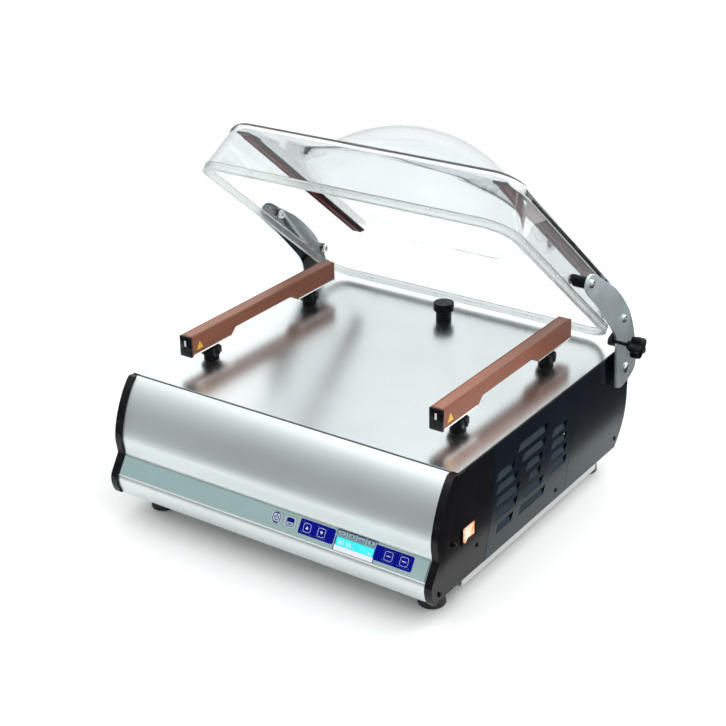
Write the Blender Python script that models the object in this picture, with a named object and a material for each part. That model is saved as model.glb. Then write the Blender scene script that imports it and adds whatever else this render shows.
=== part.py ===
"""Chamber vacuum packing machine for a restaurant kitchen, with a domed clear lid that stands open.

Machine frame, in millimetres: X to the right, Y from the front edge of the work plate to the back,
Z up from the table. The helpers turn millimetres into metres, and one empty moves everything so that
the world origin is the middle of the machine's box, at table height.
"""

import math

import bmesh
import bpy
from mathutils import Matrix, Vector

for leftover in list(bpy.data.objects):
    bpy.data.objects.remove(leftover, do_unlink=True)

# ---------------------------------------------------------------- driving dimensions, mm and degrees
MM = 0.001
GAP = 0.4                     # play left between neighbouring pieces

BODY_HALF_WIDTH = 272.3       # work plate, from the middle to either side
PROFILE_HALF = 261.2          # aluminium front profile
SIDE_OUT = 271.5              # outer face of the side panels
SIDE_IN = 268.5               # inner face of the side panels
PLATE_TOP = 207.0             # work plate above the table
PLATE_THICK = 3.0
PLATE_FRONT = 3.5
PLATE_REAR = 490.0

LID_OPEN = 40.0               # opening angle
PIVOT_Y = 456.0
PIVOT_Z = PLATE_TOP - 31.0
LID_HALF_X = 258.2
LID_HALF_Y = 211.0
LID_MID_Y = 227.5
LID_CORNER = 45.0
LID_TOP = 82.0                # flat of the lid above its rim
LID_WALL = 5.0
SIDE_DRAFT = 0.29             # inward lean of the lid's side walls
END_DRAFT = 0.12              # inward lean of its front and rear walls
DOME_RADIUS = 213.0
DOME_CENTRE = -29.0           # centre of the dome's sphere, from the rim plane
DOME_FOOT = 198.0             # where the dome's fillet leaves the flat
GASKET_HEIGHT = 11.0
GASKET_WIDTH = 9.0

ARM_OUT = 283.0
ARM_IN = 279.0
FRONT_BOLT = (-209.0, 54.0)   # bolts of an arm, from the pivot, with the lid closed
REAR_BOLT = (-66.0, 54.5)
LOCK_AT = (-67.2, 18.3)
BUFFER_AT = (-53.2, 28.9)
SHAFT_RADIUS = 6.0
SPACER_RADIUS = 8.5

BAR_X = 210.2
BAR_HALF = 10.2
BAR_FRONT = 49.0
BAR_REAR = 399.0
BAR_TOP = PLATE_TOP + 53.0
BAR_BOTTOM = PLATE_TOP + 23.0
BAR_WAIST = PLATE_TOP + 34.0  # underside of the thin middle of a seal bar
POST_Y = (104.0, 344.0)

PORT_Y = 405.0                # suction port, near the rear edge of the chamber
FACE_TOP = (-38.6, 96.5)      # keypad face in the Y, Z plane: its upper and lower edge
FACE_LOW = (-54.8, 71.0)
KEY_DOWN = 13.2               # keys below the upper edge of the keypad face
KEYS = {"power_key": 19.0, "light_key": 42.0, "up_key": 70.0,
        "down_key": 93.5, "set_key": 200.0, "start_key": 223.8}
DISPLAY_AT = (147.6, 15.8)     # middle of the display: along the machine, down the keypad face
SWITCH_AT = (33.0, PLATE_TOP - 100.0)

FOOT_X = 233.0
FOOT_Y = (5.0, 438.0)
FOOT_RADIUS = 19.0
LEDGE_Z = 38.0                # underside of the chassis ledges that carry the feet
TRAY_Z = 18.0                 # underside of the tray

CENTRE_X = 20.35              # middle of the machine's box, which the lock knob makes lopsided
CENTRE_Y = 222.5165

# ---------------------------------------------------------------- materials


def material(name, colour, roughness, metallic=0.0, alpha=1.0):
    made = bpy.data.materials.new(name)
    made.use_nodes = True
    shader = made.node_tree.nodes["Principled BSDF"]
    shader.inputs["Base Color"].default_value = (*colour, 1.0)
    shader.inputs["Roughness"].default_value = roughness
    shader.inputs["Metallic"].default_value = metallic
    shader.inputs["Alpha"].default_value = alpha
    made.diffuse_color = (*colour, alpha)
    return made


STAINLESS = material("stainless_steel", (0.66, 0.68, 0.68), 0.28, 1.0)
ALUMINIUM = material("satin_aluminium", (0.74, 0.77, 0.77), 0.34, 1.0)
CHASSIS = material("zinc_plated_steel", (0.55, 0.57, 0.58), 0.45, 1.0)
SHINY_STEEL = material("bright_steel", (0.75, 0.76, 0.77), 0.18, 1.0)
GLOSS_BLACK = material("gloss_black_plastic", (0.012, 0.012, 0.014), 0.16)
SATIN_BLACK = material("satin_black_plastic", (0.02, 0.03, 0.035), 0.42)
RUBBER = material("black_rubber", (0.015, 0.015, 0.016), 0.75)
ACRYLIC = material("clear_acrylic", (0.9, 0.95, 0.93), 0.04, 0.0, 0.35)
SEAL_RUBBER = material("translucent_silicone", (0.8, 0.84, 0.8), 0.4)
PTFE_BROWN = material("brown_ptfe_cover", (0.30, 0.14, 0.09), 0.5)
RED_SILICONE = material("dark_red_silicone", (0.16, 0.015, 0.015), 0.55)
OVERLAY = material("grey_keypad_film", (0.55, 0.63, 0.65), 0.35)
KEY_BLUE = material("blue_key", (0.02, 0.02, 0.28), 0.3)
DISPLAY = material("cyan_display", (0.1, 0.75, 0.85), 0.2)
LAMP_ORANGE = material("orange_lit_rocker", (1.0, 0.45, 0.2), 0.3)
BOARD_GREEN = material("green_circuit_board", (0.03, 0.18, 0.07), 0.5)
CAST_GREY = material("cast_pump_housing", (0.30, 0.31, 0.32), 0.55, 0.6)
MOTOR_PAINT = material("motor_paint", (0.06, 0.09, 0.13), 0.5)
COPPER = material("copper_winding", (0.55, 0.26, 0.12), 0.4, 1.0)
BRASS = material("brass_valve_block", (0.6, 0.48, 0.22), 0.35, 1.0)
HOSE_BLUE = material("clear_blue_hose", (0.25, 0.35, 0.45), 0.3)

# ---------------------------------------------------------------- placing

machine = bpy.data.objects.new("machine_origin", None)
bpy.context.scene.collection.objects.link(machine)
machine.location = (-CENTRE_X * MM, -CENTRE_Y * MM, 0.0)

lid_pivot = bpy.data.objects.new("lid_pivot", None)
bpy.context.scene.collection.objects.link(lid_pivot)
lid_pivot.parent = machine
lid_pivot.location = (0.0, PIVOT_Y * MM, PIVOT_Z * MM)
lid_pivot.rotation_euler = (-math.radians(LID_OPEN), 0.0, 0.0)


def add(name, bm, finish, origin=(0.0, 0.0, 0.0), parent=machine, smooth=None):
    """Turns a bmesh in millimetres, drawn around its origin, into a named object in metres."""
    bmesh.ops.recalc_face_normals(bm, faces=bm.faces)
    if bm.calc_volume() < 0:
        bmesh.ops.reverse_faces(bm, faces=bm.faces)
    bm.transform(Matrix.Scale(MM, 4))
    mesh = bpy.data.meshes.new(name)
    bm.to_mesh(mesh)
    bm.free()
    mesh.materials.append(finish)
    made = bpy.data.objects.new(name, mesh)
    bpy.context.scene.collection.objects.link(made)
    made.parent = parent
    made.location = Vector(origin) * MM
    if smooth is not None:
        mesh.shade_smooth()
        mesh.set_sharp_from_angle(angle=math.radians(smooth))
    return made


def combine(base, other, operation):
    """Cuts other out of base, or joins it on, and keeps other out of the model."""
    step = base.modifiers.new(operation.lower(), "BOOLEAN")
    step.operation = operation
    step.solver = "EXACT"
    step.object = other
    other.hide_render = True
    other.display_type = "WIRE"


def bevel(piece, width, segments=2, angle=50.0):
    step = piece.modifiers.new("bevel", "BEVEL")
    step.width = width * MM
    step.segments = segments
    step.limit_method = "ANGLE"
    step.angle_limit = math.radians(angle)
    step.use_clamp_overlap = True


# ---------------------------------------------------------------- shapes


def box(name, low, high, finish, parent=machine):
    """A box between two corners, with its origin in its middle."""
    low, high = Vector(low), Vector(high)
    bm = bmesh.new()
    bmesh.ops.create_cube(bm, size=1.0)
    size = high - low
    bm.transform(Matrix.Diagonal((*size, 1.0)))
    return add(name, bm, finish, (low + high) / 2, parent)


def prism(name, outline, low_x, high_x, finish, origin=(0.0, 0.0, 0.0), parent=machine, smooth=None):
    """An outline in the Y, Z plane, drawn out along X."""
    bm = bmesh.new()
    face = bm.faces.new([bm.verts.new((low_x, y, z)) for y, z in outline])
    grown = bmesh.ops.extrude_face_region(bm, geom=[face])
    moved = [item for item in grown["geom"] if isinstance(item, bmesh.types.BMVert)]
    bmesh.ops.translate(bm, verts=moved, vec=(high_x - low_x, 0.0, 0.0))
    return add(name, bm, finish, origin, parent, smooth)


def turned(name, profile, finish, origin, axis="Z", sides=32, parent=machine, smooth=35.0):
    """A closed outline of (radius, height) points, turned about its axis."""
    rings = []
    for radius, height in profile:
        if radius < 1e-6:
            rings.append([(0.0, 0.0, height)])
        else:
            turns = [2 * math.pi * k / sides for k in range(sides)]
            rings.append([(radius * math.cos(t), radius * math.sin(t), height) for t in turns])
    bm = bmesh.new()
    made = [[bm.verts.new(point) for point in ring] for ring in rings]
    hollow = profile[0][0] > 1e-6 and profile[-1][0] > 1e-6
    pairs = list(zip(made, made[1:])) + ([(made[-1], made[0])] if hollow else [])
    for one, two in pairs:
        for k in range(sides):
            n = (k + 1) % sides
            if len(one) == 1 and len(two) > 1:
                bm.faces.new((one[0], two[k], two[n]))
            elif len(two) == 1 and len(one) > 1:
                bm.faces.new((one[k], two[0], one[n]))
            elif len(one) > 1:
                bm.faces.new((one[k], two[k], two[n], one[n]))
    if axis == "X":
        bm.transform(Matrix.Rotation(math.radians(90.0), 4, "Y"))
    if axis == "Y":
        bm.transform(Matrix.Rotation(math.radians(-90.0), 4, "X"))
    return add(name, bm, finish, origin, parent, smooth)


def lofted(name, rings, finish, origin=(0.0, 0.0, 0.0), parent=machine, smooth=40.0, loop=False,
           split=False):
    """Rings of equally many points joined one to the next. loop joins the last to the first, and split
    cuts the bent quads into flat triangles."""
    bm = bmesh.new()
    made = [[bm.verts.new(point) for point in ring] for ring in rings]
    count = len(rings[0])
    pairs = list(zip(made, made[1:])) + ([(made[-1], made[0])] if loop else [])
    for one, two in pairs:
        for k in range(count):
            n = (k + 1) % count
            bm.faces.new((one[k], one[n], two[n], two[k]))
    if not loop:
        bm.faces.new(list(reversed(made[0])))
        bm.faces.new(made[-1])
    if split:
        bmesh.ops.triangulate(bm, faces=bm.faces)
    return add(name, bm, finish, origin, parent, smooth)


def tube(name, path, radius, sides, finish, origin=(0.0, 0.0, 0.0), parent=machine):
    """A round bar of constant radius that follows a path of points."""
    points = [Vector(point) for point in path]
    side = None
    rings = []
    for k, point in enumerate(points):
        ahead = (points[min(k + 1, len(points) - 1)] - points[max(k - 1, 0)]).normalized()
        if side is None:
            side = ahead.orthogonal().normalized()
        side = (side - ahead * side.dot(ahead)).normalized()
        other = ahead.cross(side)
        turns = [2 * math.pi * j / sides for j in range(sides)]
        rings.append([point + radius * (math.cos(t) * side + math.sin(t) * other) for t in turns])
    return lofted(name, rings, finish, origin, parent, split=True)


def bezier(start, pull_a, pull_b, end, steps):
    """Points along a cubic curve in a plane, without its first point."""
    points = []
    for k in range(1, steps + 1):
        t = k / steps
        weights = ((1 - t) ** 3, 3 * t * (1 - t) ** 2, 3 * t * t * (1 - t), t ** 3)
        corners = (start, pull_a, pull_b, end)
        points.append(tuple(sum(w * c[i] for w, c in zip(weights, corners)) for i in (0, 1)))
    return points


def smooth_path(points, steps):
    """A curve that passes through every point of an open path."""
    ends = [points[0]] + list(points) + [points[-1]]
    curve = [points[0]]
    for a, b, c, d in zip(ends, ends[1:], ends[2:], ends[3:]):
        for k in range(1, steps + 1):
            t = k / steps
            curve.append(tuple(0.5 * (2 * q + (r - p) * t + (2 * p - 5 * q + 4 * r - s) * t * t
                                      + (3 * q - p - 3 * r + s) * t ** 3)
                               for p, q, r, s in zip(a, b, c, d)))
    return curve


def offset(path, distance):
    """An open path in a plane moved sideways, to its left for a positive distance."""
    moved = []
    for k, (y, z) in enumerate(path):
        before, after = path[max(k - 1, 0)], path[min(k + 1, len(path) - 1)]
        run = Vector((after[0] - before[0], after[1] - before[1])).normalized()
        moved.append((y - run.y * distance, z + run.x * distance))
    return moved


def rounded_ring(half_x, half_y, corner, z, per_corner=7, per_side=6):
    """Points around a rectangle with round corners, at height z."""
    ring = []
    centres = ((1, 1, 0), (-1, 1, 90), (-1, -1, 180), (1, -1, 270))
    for index, (sx, sy, start) in enumerate(centres):
        cx, cy = sx * (half_x - corner), sy * (half_y - corner)
        arc = [(cx + corner * math.cos(math.radians(start + 90 * k / (per_corner - 1))),
                cy + corner * math.sin(math.radians(start + 90 * k / (per_corner - 1))))
               for k in range(per_corner)]
        nx, ny, turn = centres[(index + 1) % 4]
        ahead = (nx * (half_x - corner) + corner * math.cos(math.radians(turn)),
                 ny * (half_y - corner) + corner * math.sin(math.radians(turn)))
        ring += arc
        for k in range(1, per_side):
            t = k / per_side
            ring.append((arc[-1][0] * (1 - t) + ahead[0] * t, arc[-1][1] * (1 - t) + ahead[1] * t))
    return [(x, y, z) for x, y in ring]


# ---------------------------------------------------------------- shell of the machine


def profile_path():
    """Front face of the aluminium profile, from its top edge down to its lower lip."""
    top = (-0.2, PLATE_TOP - 0.6)
    belly = (-41.0, PLATE_TOP - 82.0)
    path = [top]
    path += bezier(top, (-14.0, PLATE_TOP - 8.0), (-38.0, PLATE_TOP - 50.0), belly, 12)
    path += bezier(belly, (-41.9, PLATE_TOP - 91.0), (-37.8, PLATE_TOP - 101.0), FACE_TOP, 6)
    path.append(FACE_LOW)
    lip = (-48.3, PLATE_TOP - 168.6)
    path += bezier(FACE_LOW, (-59.5, PLATE_TOP - 143.5), (-55.5, PLATE_TOP - 158.0), lip, 8)
    return path


def front_profile():
    wall = 2.6
    face = profile_path()
    foot = (-30.0, face[-1][1])
    inner = offset(face, wall)
    outline = face + [foot, (foot[0], foot[1] + wall), (inner[-1][0], foot[1] + wall)]
    outline += list(reversed(inner[:-1]))
    profile = prism("front_profile", outline, -PROFILE_HALF, PROFILE_HALF, ALUMINIUM, smooth=30.0)
    across, down = DISPLAY_AT
    window = face_block("profile_window", across, down, 30.4, 6.4, -6.0, 4.0, ALUMINIUM, 0.8)
    combine(profile, window, "DIFFERENCE")


def seam(at, low):
    """A joint line of the side panels: upright, then curving forward at the foot."""
    top = (at + 22.0, PLATE_TOP - PLATE_THICK - GAP)
    knee = (at + 20.0, PLATE_TOP - 78.0)
    return [top, knee] + bezier(knee, (at + 17.0, PLATE_TOP - 110.0), (at + 9.0, PLATE_TOP - 138.0),
                                (at, low), 6)


PANEL_LOW = PLATE_TOP - 167.0
FRONT_SEAM = 73.0
VENT_SEAM = 295.0
REAR_EDGE = [(491.5, PLATE_TOP - PLATE_THICK - GAP), (491.5, PLATE_TOP - 95.0)]


def rear_edge():
    """Rear outline of the side panels, which sweeps forward under the machine."""
    low = (458.0, PANEL_LOW)
    return REAR_EDGE + bezier(REAR_EDGE[-1], (490.5, PLATE_TOP - 128.0), (476.0, PLATE_TOP - 148.0), low, 8)


def end_cap(side):
    """Moulded cap on the end of the profile: a raised glossy rim around a flat field."""
    rim_front = offset(profile_path(), -3.2)
    rim_front[0] = (2.9, PLATE_TOP - 1.6)
    rim_front[-1:] = [(-52.2, PANEL_LOW - 0.2), (-49.6, PANEL_LOW - 0.8)]
    heel = rim_front[-1]
    rim_back = [(22.0, PLATE_TOP - PLATE_THICK - GAP)]
    rim_back += bezier(rim_back[0], (4.0, PLATE_TOP - 30.0), (-17.0, PLATE_TOP - 60.0),
                       (-20.5, PLATE_TOP - 92.0), 8)
    rim_back += bezier(rim_back[-1], (-22.0, PLATE_TOP - 112.0), (-18.0, PLATE_TOP - 124.0),
                       (-34.0, PLATE_TOP - 135.5), 5)
    rim_back += bezier(rim_back[-1], (-44.0, PLATE_TOP - 142.5), (-49.0, PLATE_TOP - 148.0),
                       (-43.5, heel[1] + 0.5), 5)
    top = (3.0, PLATE_TOP - PLATE_THICK - GAP)
    rim = [rim_front[0], *rim_front[1:], *reversed(rim_back), top]
    line = seam(FRONT_SEAM - GAP / 2, PANEL_LOW)
    field = [top, *rim_front[2:], (heel[0] + 6.0, PANEL_LOW), *reversed(line)]
    name = f"end_cap_{side}"
    sign = 1 if side == "right" else -1
    cap = prism(name, field, sign * SIDE_IN, sign * SIDE_OUT, GLOSS_BLACK, smooth=30.0)
    raised = prism(name + "_rim", rim, sign * (PROFILE_HALF + GAP), sign * 273.0, GLOSS_BLACK)
    combine(cap, raised, "UNION")
    if side == "right":
        y, z = SWITCH_AT
        hole = box("switch_window", (SIDE_IN - 2, y - 17.0, z - 12.3), (SIDE_OUT + 2, y + 17.0, z + 12.3),
                   GLOSS_BLACK)
        combine(cap, hole, "DIFFERENCE")
    return cap


def louvre_rows():
    """Slots of a vent panel: (front, rear, height), in three columns with slanting ends."""
    rows = []
    for k, rear in enumerate((152.0, 161.0, 167.0, 161.0, 150.0)):
        rows.append((102.0, rear, PLATE_TOP - 49.0 - 19.5 * k))
    middle = ((158.0, 242.0), (170.0, 238.0), (181.0, 229.0), (187.0, 226.0), (177.0, 233.0), (163.0, 240.0))
    for k, (front, rear) in enumerate(middle):
        rows.append((front, rear, PLATE_TOP - 31.0 - 19.5 * k))
    for k in range(4):
        rows.append((253.0 - 1.5 * k, 299.0 + 1.0 * k, PLATE_TOP - 51.0 - 18.5 * k))
    return rows


def vent_panel(side):
    sign = 1 if side == "right" else -1
    front = seam(FRONT_SEAM + GAP / 2, PANEL_LOW)
    back = seam(VENT_SEAM - GAP / 2, PANEL_LOW)
    panel = prism(f"vent_panel_{side}", front + list(reversed(back)), sign * SIDE_IN, sign * SIDE_OUT,
                  SATIN_BLACK, smooth=30.0)
    slot_height = 12.0
    slots = bmesh.new()
    for low_y, high_y, z in louvre_rows():
        lean = 6.5
        corners = ((low_y, z - slot_height), (low_y + lean, z), (high_y, z), (high_y - lean, z - slot_height))
        face = slots.faces.new([slots.verts.new((sign * (SIDE_IN - 3), y, h)) for y, h in corners])
        grown = bmesh.ops.extrude_face_region(slots, geom=[face])
        moved = [item for item in grown["geom"] if isinstance(item, bmesh.types.BMVert)]
        bmesh.ops.translate(slots, verts=moved, vec=(sign * 9.0, 0.0, 0.0))
    combine(panel, add(f"louvre_cutter_{side}", slots, SATIN_BLACK), "DIFFERENCE")


def side_panel_rear(side):
    sign = 1 if side == "right" else -1
    outline = seam(VENT_SEAM + GAP / 2, PANEL_LOW) + list(reversed(rear_edge()))
    panel = prism(f"side_panel_rear_{side}", outline, sign * SIDE_IN, sign * SIDE_OUT, SATIN_BLACK,
                  smooth=30.0)
    hole = turned(f"shaft_hole_{side}", [(0, -6), (9, -6), (9, 6), (0, 6)], SATIN_BLACK,
                  (sign * SIDE_OUT, PIVOT_Y, PIVOT_Z), "X", 24)
    combine(panel, hole, "DIFFERENCE")


def rear_cover():
    """Folded sheet that closes the back and follows the sweep of the side panels."""
    wall = 1.6
    half = SIDE_IN - GAP
    inset = [(y - 1.5, z) for y, z in rear_edge()]
    outline = inset + list(reversed(offset(inset, -wall)))
    cover = prism("rear_cover", outline, -half, half, SATIN_BLACK, smooth=30.0)
    slots = bmesh.new()
    for column in (-150.0, -50.0, 50.0, 150.0):
        for row in range(4):
            made = bmesh.ops.create_cube(slots, size=1.0)["verts"]
            bmesh.ops.scale(slots, vec=(70.0, 20.0, 4.0), verts=made)
            bmesh.ops.translate(slots, vec=(column, 489.0, PLATE_TOP - 38.0 - 11.0 * row), verts=made)
    combine(cover, add("rear_vent_cutter", slots, SATIN_BLACK), "DIFFERENCE")
    inlet_hole = box("inlet_window", (-214.0, 478.0, 113.0), (-186.0, 496.0, 133.0), SATIN_BLACK)
    combine(cover, inlet_hole, "DIFFERENCE")


def base_tray():
    """Chassis: a folded tray, ledges over the feet, and two ears that carry the lid's shaft."""
    sheet = 1.5
    half = PROFILE_HALF
    tray = box("base_tray", (-half, 34, TRAY_Z), (half, 418, 46), CHASSIS)
    hollow = box("tray_hollow", (-half + sheet, 34 + sheet, TRAY_Z + sheet), (half - sheet, 418 - sheet, 60),
                 CHASSIS)
    combine(tray, hollow, "DIFFERENCE")
    ledges = (("front_ledge", -26.0, 34.8), ("rear_ledge", 417.2, 452.0))
    for name, front, back in ledges:
        ledge = box(name, (-250, front, LEDGE_Z), (250, back, LEDGE_Z + sheet), CHASSIS)
        combine(tray, ledge, "UNION")
    for sign in (-1, 1):
        ear_outline = [(425, LEDGE_Z + 0.6), (444, LEDGE_Z + 0.6), (472, 100), (472, PIVOT_Z + 18),
                       (425, PIVOT_Z + 18)]
        ear = prism(f"ear_{sign}", ear_outline, sign * 246.0, sign * 249.0, CHASSIS)
        combine(tray, ear, "UNION")
        bore_radius = SHAFT_RADIUS + 0.08
        bore = turned(f"ear_bore_{sign}", [(0, -6), (bore_radius, -6), (bore_radius, 6), (0, 6)],
                      CHASSIS, (sign * 247.5, PIVOT_Y, PIVOT_Z), "X", 24)
        combine(tray, bore, "DIFFERENCE")


def top_plate():
    plate = box("top_plate", (-BODY_HALF_WIDTH, PLATE_FRONT, PLATE_TOP - PLATE_THICK),
                (BODY_HALF_WIDTH, PLATE_REAR, PLATE_TOP), STAINLESS)
    bore = PLATE_THICK * 2
    places = [(sign * BAR_X, y, 7.5) for sign in (-1, 1) for y in POST_Y] + [(0.0, PORT_Y, 8.0)]
    for index, (x, y, radius) in enumerate(places):
        hole = turned(f"plate_hole_{index}", [(0, -bore), (radius, -bore), (radius, bore), (0, bore)],
                      STAINLESS, (x, y, PLATE_TOP - PLATE_THICK / 2), "Z", 24)
        combine(plate, hole, "DIFFERENCE")


def foot(name, x, y):
    neck = 10.0
    profile = [(0, 0), (FOOT_RADIUS - 1.5, 0), (FOOT_RADIUS, 1.5), (FOOT_RADIUS - 1.5, 15.0),
               (FOOT_RADIUS - 4, 17.5), (neck, 18.5), (neck, LEDGE_Z - GAP), (0, LEDGE_Z - GAP)]
    turned(name, profile, RUBBER, (x, y, 0), "Z", 32)


# ---------------------------------------------------------------- controls

FACE_DOWN = Vector((0.0, FACE_LOW[0] - FACE_TOP[0], FACE_LOW[1] - FACE_TOP[1])).normalized()
FACE_OUT = Vector((0.0, FACE_DOWN.z, -FACE_DOWN.y))
FACE_START = Vector((0.0, *FACE_TOP))


def on_face(x, down, out=0.0):
    """A point of the sloping keypad face: along the machine, down the slope, out of the surface."""
    return Vector((x, 0, 0)) + FACE_START + FACE_DOWN * down + FACE_OUT * out


def face_block(name, x, down, half_x, half_down, low, high, finish, corner=2.0):
    """A flat block with round corners on the keypad face, between two heights above it."""
    rings = []
    for height in (low, high):
        ring = rounded_ring(half_x, half_down, corner, 0.0, 4, 1)
        rings.append([Vector((px, 0, 0)) + FACE_DOWN * py + FACE_OUT * height for px, py, _ in ring])
    return lofted(name, rings, finish, on_face(x, down))


def controls():
    film = 0.9
    lift = 0.3
    overlay = face_block("keypad_overlay", 0.0, 15.0, 259.0, 13.6, lift, lift + film, OVERLAY, 1.0)
    for name, x in KEYS.items():
        window = face_block(name + "_window", x, KEY_DOWN, 9.4, 7.9, -2.0, 4.0, OVERLAY, 3.0)
        combine(overlay, window, "DIFFERENCE")
        face_block(name, x, KEY_DOWN, 9.0, 7.5, lift + 0.8, lift + film + 0.5, KEY_BLUE, 2.7)
    across, down = DISPLAY_AT
    glass_window = face_block("overlay_window", across, down, 30.2, 6.2, -2.0, 4.0, OVERLAY, 0.8)
    combine(overlay, glass_window, "DIFFERENCE")
    board = face_block("control_board", 140.0, 15.0, 108.0, 13.0, -8.0, -6.4, BOARD_GREEN, 1.0)
    display = face_block("display_block", across, down, 29.8, 5.8, -7.0, lift + film, DISPLAY, 0.6)
    combine(board, display, "UNION")


def rocker_switch():
    y, z = SWITCH_AT
    bezel = box("switch_bezel", (SIDE_IN - 16, y - 16.6, z - 11.9), (SIDE_OUT + 0.8, y + 16.6, z + 11.9),
                SATIN_BLACK)
    flange = box("bezel_flange", (SIDE_OUT + 0.35, y - 18.6, z - 13.8), (SIDE_OUT + 1.3, y + 18.6, z + 13.8),
                 SATIN_BLACK)
    combine(bezel, flange, "UNION")
    well = box("bezel_well", (SIDE_IN - 9, y - 15.4, z - 10.6), (SIDE_OUT + 6, y + 15.4, z + 10.6),
               SATIN_BLACK)
    combine(bezel, well, "DIFFERENCE")
    reach = 14.0
    crown = [(-reach, -3.6), (reach, -3.6), (reach, 0.8), (0.0, -0.4), (-reach, 4.2)]
    bm = bmesh.new()
    face = bm.faces.new([bm.verts.new((out, along, -10.1)) for along, out in crown])
    grown = bmesh.ops.extrude_face_region(bm, geom=[face])
    moved = [item for item in grown["geom"] if isinstance(item, bmesh.types.BMVert)]
    bmesh.ops.translate(bm, verts=moved, vec=(0, 0, 20.2))
    add("switch_rocker", bm, LAMP_ORANGE, (SIDE_OUT - 1.0, y, z))


def power_inlet():
    """Appliance inlet in the rear cover: a socket with a flange and a contact bridge."""
    x, z = -200.0, 123.0
    inlet = box("power_inlet", (x - 13.6, 464, z - 9.6), (x + 13.6, 489.8, z + 9.6), GLOSS_BLACK)
    flange = box("inlet_flange", (x - 24, 490.3, z - 14), (x + 24, 493.0, z + 14), GLOSS_BLACK)
    neck = box("inlet_neck", (x - 13.6, 480, z - 9.6), (x + 13.6, 491.0, z + 9.6), GLOSS_BLACK)
    socket = box("inlet_socket", (x - 11.6, 470, z - 7.6), (x + 11.6, 500, z + 7.6), GLOSS_BLACK)
    for other, operation in ((neck, "UNION"), (flange, "UNION"), (socket, "DIFFERENCE")):
        combine(inlet, other, operation)
    for index, (px, pz) in enumerate(((-7.0, -1.5), (7.0, -1.5), (0.0, 2.5))):
        pin = box(f"inlet_pin_{index}", (x + px - 1, 468, z + pz - 2), (x + px + 1, 486, z + pz + 2),
                  SHINY_STEEL)
        combine(inlet, pin, "UNION")


# ---------------------------------------------------------------- inside the machine


def vacuum_unit():
    """Oil pump with its motor and fan on one axis along X, above the tray."""
    axis_y, axis_z = 230.0, 92.0
    pump = box("vacuum_pump", (-128, 168, 20.0), (-14, 292, 152), CAST_GREY)
    bevel(pump, 6.0, 2)
    motor_profile = [(0, 0), (50, 0), (55, 5), (55, 118), (50, 124), (12, 124), (12, 130), (0, 130)]
    turned("pump_motor", motor_profile, MOTOR_PAINT, (-13.5, axis_y, axis_z), "X", 32)
    rotor_start = 117.2
    rotor = turned("fan_rotor", [(0, 0), (16, 0), (16, 12), (0, 12)], GLOSS_BLACK,
                   (rotor_start, axis_y, axis_z), "X", 24)
    blades = bmesh.new()
    for k in range(7):
        made = bmesh.ops.create_cube(blades, size=1.0)["verts"]
        bmesh.ops.scale(blades, vec=(9.0, 1.6, 34.0), verts=made)
        bmesh.ops.rotate(blades, verts=made, matrix=Matrix.Rotation(math.radians(28), 3, "Z"))
        bmesh.ops.translate(blades, vec=(6.0, 0, 30.0), verts=made)
        bmesh.ops.rotate(blades, verts=made, matrix=Matrix.Rotation(2 * math.pi * k / 7, 3, "X"))
    fan = add("fan_blades", blades, GLOSS_BLACK, (rotor_start, axis_y, axis_z))
    combine(rotor, fan, "UNION")

    valve = box("valve_block", (-30, 325, 20.0), (30, 385, 70), BRASS)
    bevel(valve, 2.0, 1)
    transformer = box("sealing_transformer", (-205, 60, 20.0), (-115, 140, 96), CAST_GREY)
    coil = box("transformer_coil", (-192, 50, 32), (-128, 150, 84), COPPER)
    combine(transformer, coil, "UNION")

    route = [(0, 355, 70.4), (0, 356, 90), (-1, 362, 115), (-1, 378, 138), (0, 395, 156), (0, PORT_Y, 172),
             (0, PORT_Y, 179)]
    tube("vacuum_hose", smooth_path(route, 4), 9.0, 12, HOSE_BLUE)


def suction_port():
    """Threaded nipple in the plate and the slotted cap that keeps bags off it."""
    top = PLATE_TOP
    nipple = [(4.5, -22.0), (9.5, -22.0), (9.5, -12.0), (14.0, -12.0), (14.0, -3.4), (7.6, -3.4), (7.6, 0.4),
              (7.6, 9.0), (4.5, 9.0)]
    turned("suction_port", nipple, SHINY_STEEL, (0, PORT_Y, top), "Z", 32)
    cap = [(0, 28.0), (15.0, 28.0), (15.8, 27.0), (15.8, 15.5), (12.0, 14.5), (12.0, 0.5), (9.2, 0.5),
           (9.2, 12.0), (0, 12.0)]
    turned("suction_cap", cap, GLOSS_BLACK, (0, PORT_Y, top), "Z", 32)


# ---------------------------------------------------------------- seal bars


def bar_outline(front, rear):
    """Side view of a seal bar: deep at both ends, thin between its posts."""
    return [(front, BAR_BOTTOM), (138.0, BAR_BOTTOM), (150.0, BAR_WAIST), (291.0, BAR_WAIST),
            (303.0, BAR_BOTTOM), (rear, BAR_BOTTOM), (rear, BAR_TOP), (front, BAR_TOP)]


def lobed(count, steps, low, high):
    """Radii of a grip with round lobes, one for every step of a turn."""
    turns = [2 * math.pi * k / steps for k in range(steps)]
    return [(t, low + (high - low) * (0.5 + 0.5 * math.cos(count * t))) for t in turns]


def post_knob(name, x, y):
    """Lobed nut on a post, with a collar below it, bored for the post."""
    bore = 7.08
    steps = 40
    levels = ((0.6, 11.5), (7.6, 10.8), (7.6, 0.93), (8.8, 1.0), (17.0, 1.0), (19.5, 0.84))
    rings = [[(bore * math.cos(2 * math.pi * k / steps), bore * math.sin(2 * math.pi * k / steps), 0.6)
              for k in range(steps)]]
    for height, size in levels:
        grip = lobed(8, steps, 13.6, 15.5) if size <= 1.0 else lobed(8, steps, 1.0, 1.0)
        rings.append([(size * r * math.cos(t), size * r * math.sin(t), height) for t, r in grip])
    rings.append([(px, py, 19.5) for px, py, _ in rings[0]])
    lofted(name, rings, GLOSS_BLACK, (x, y, PLATE_TOP), loop=True)


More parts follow.
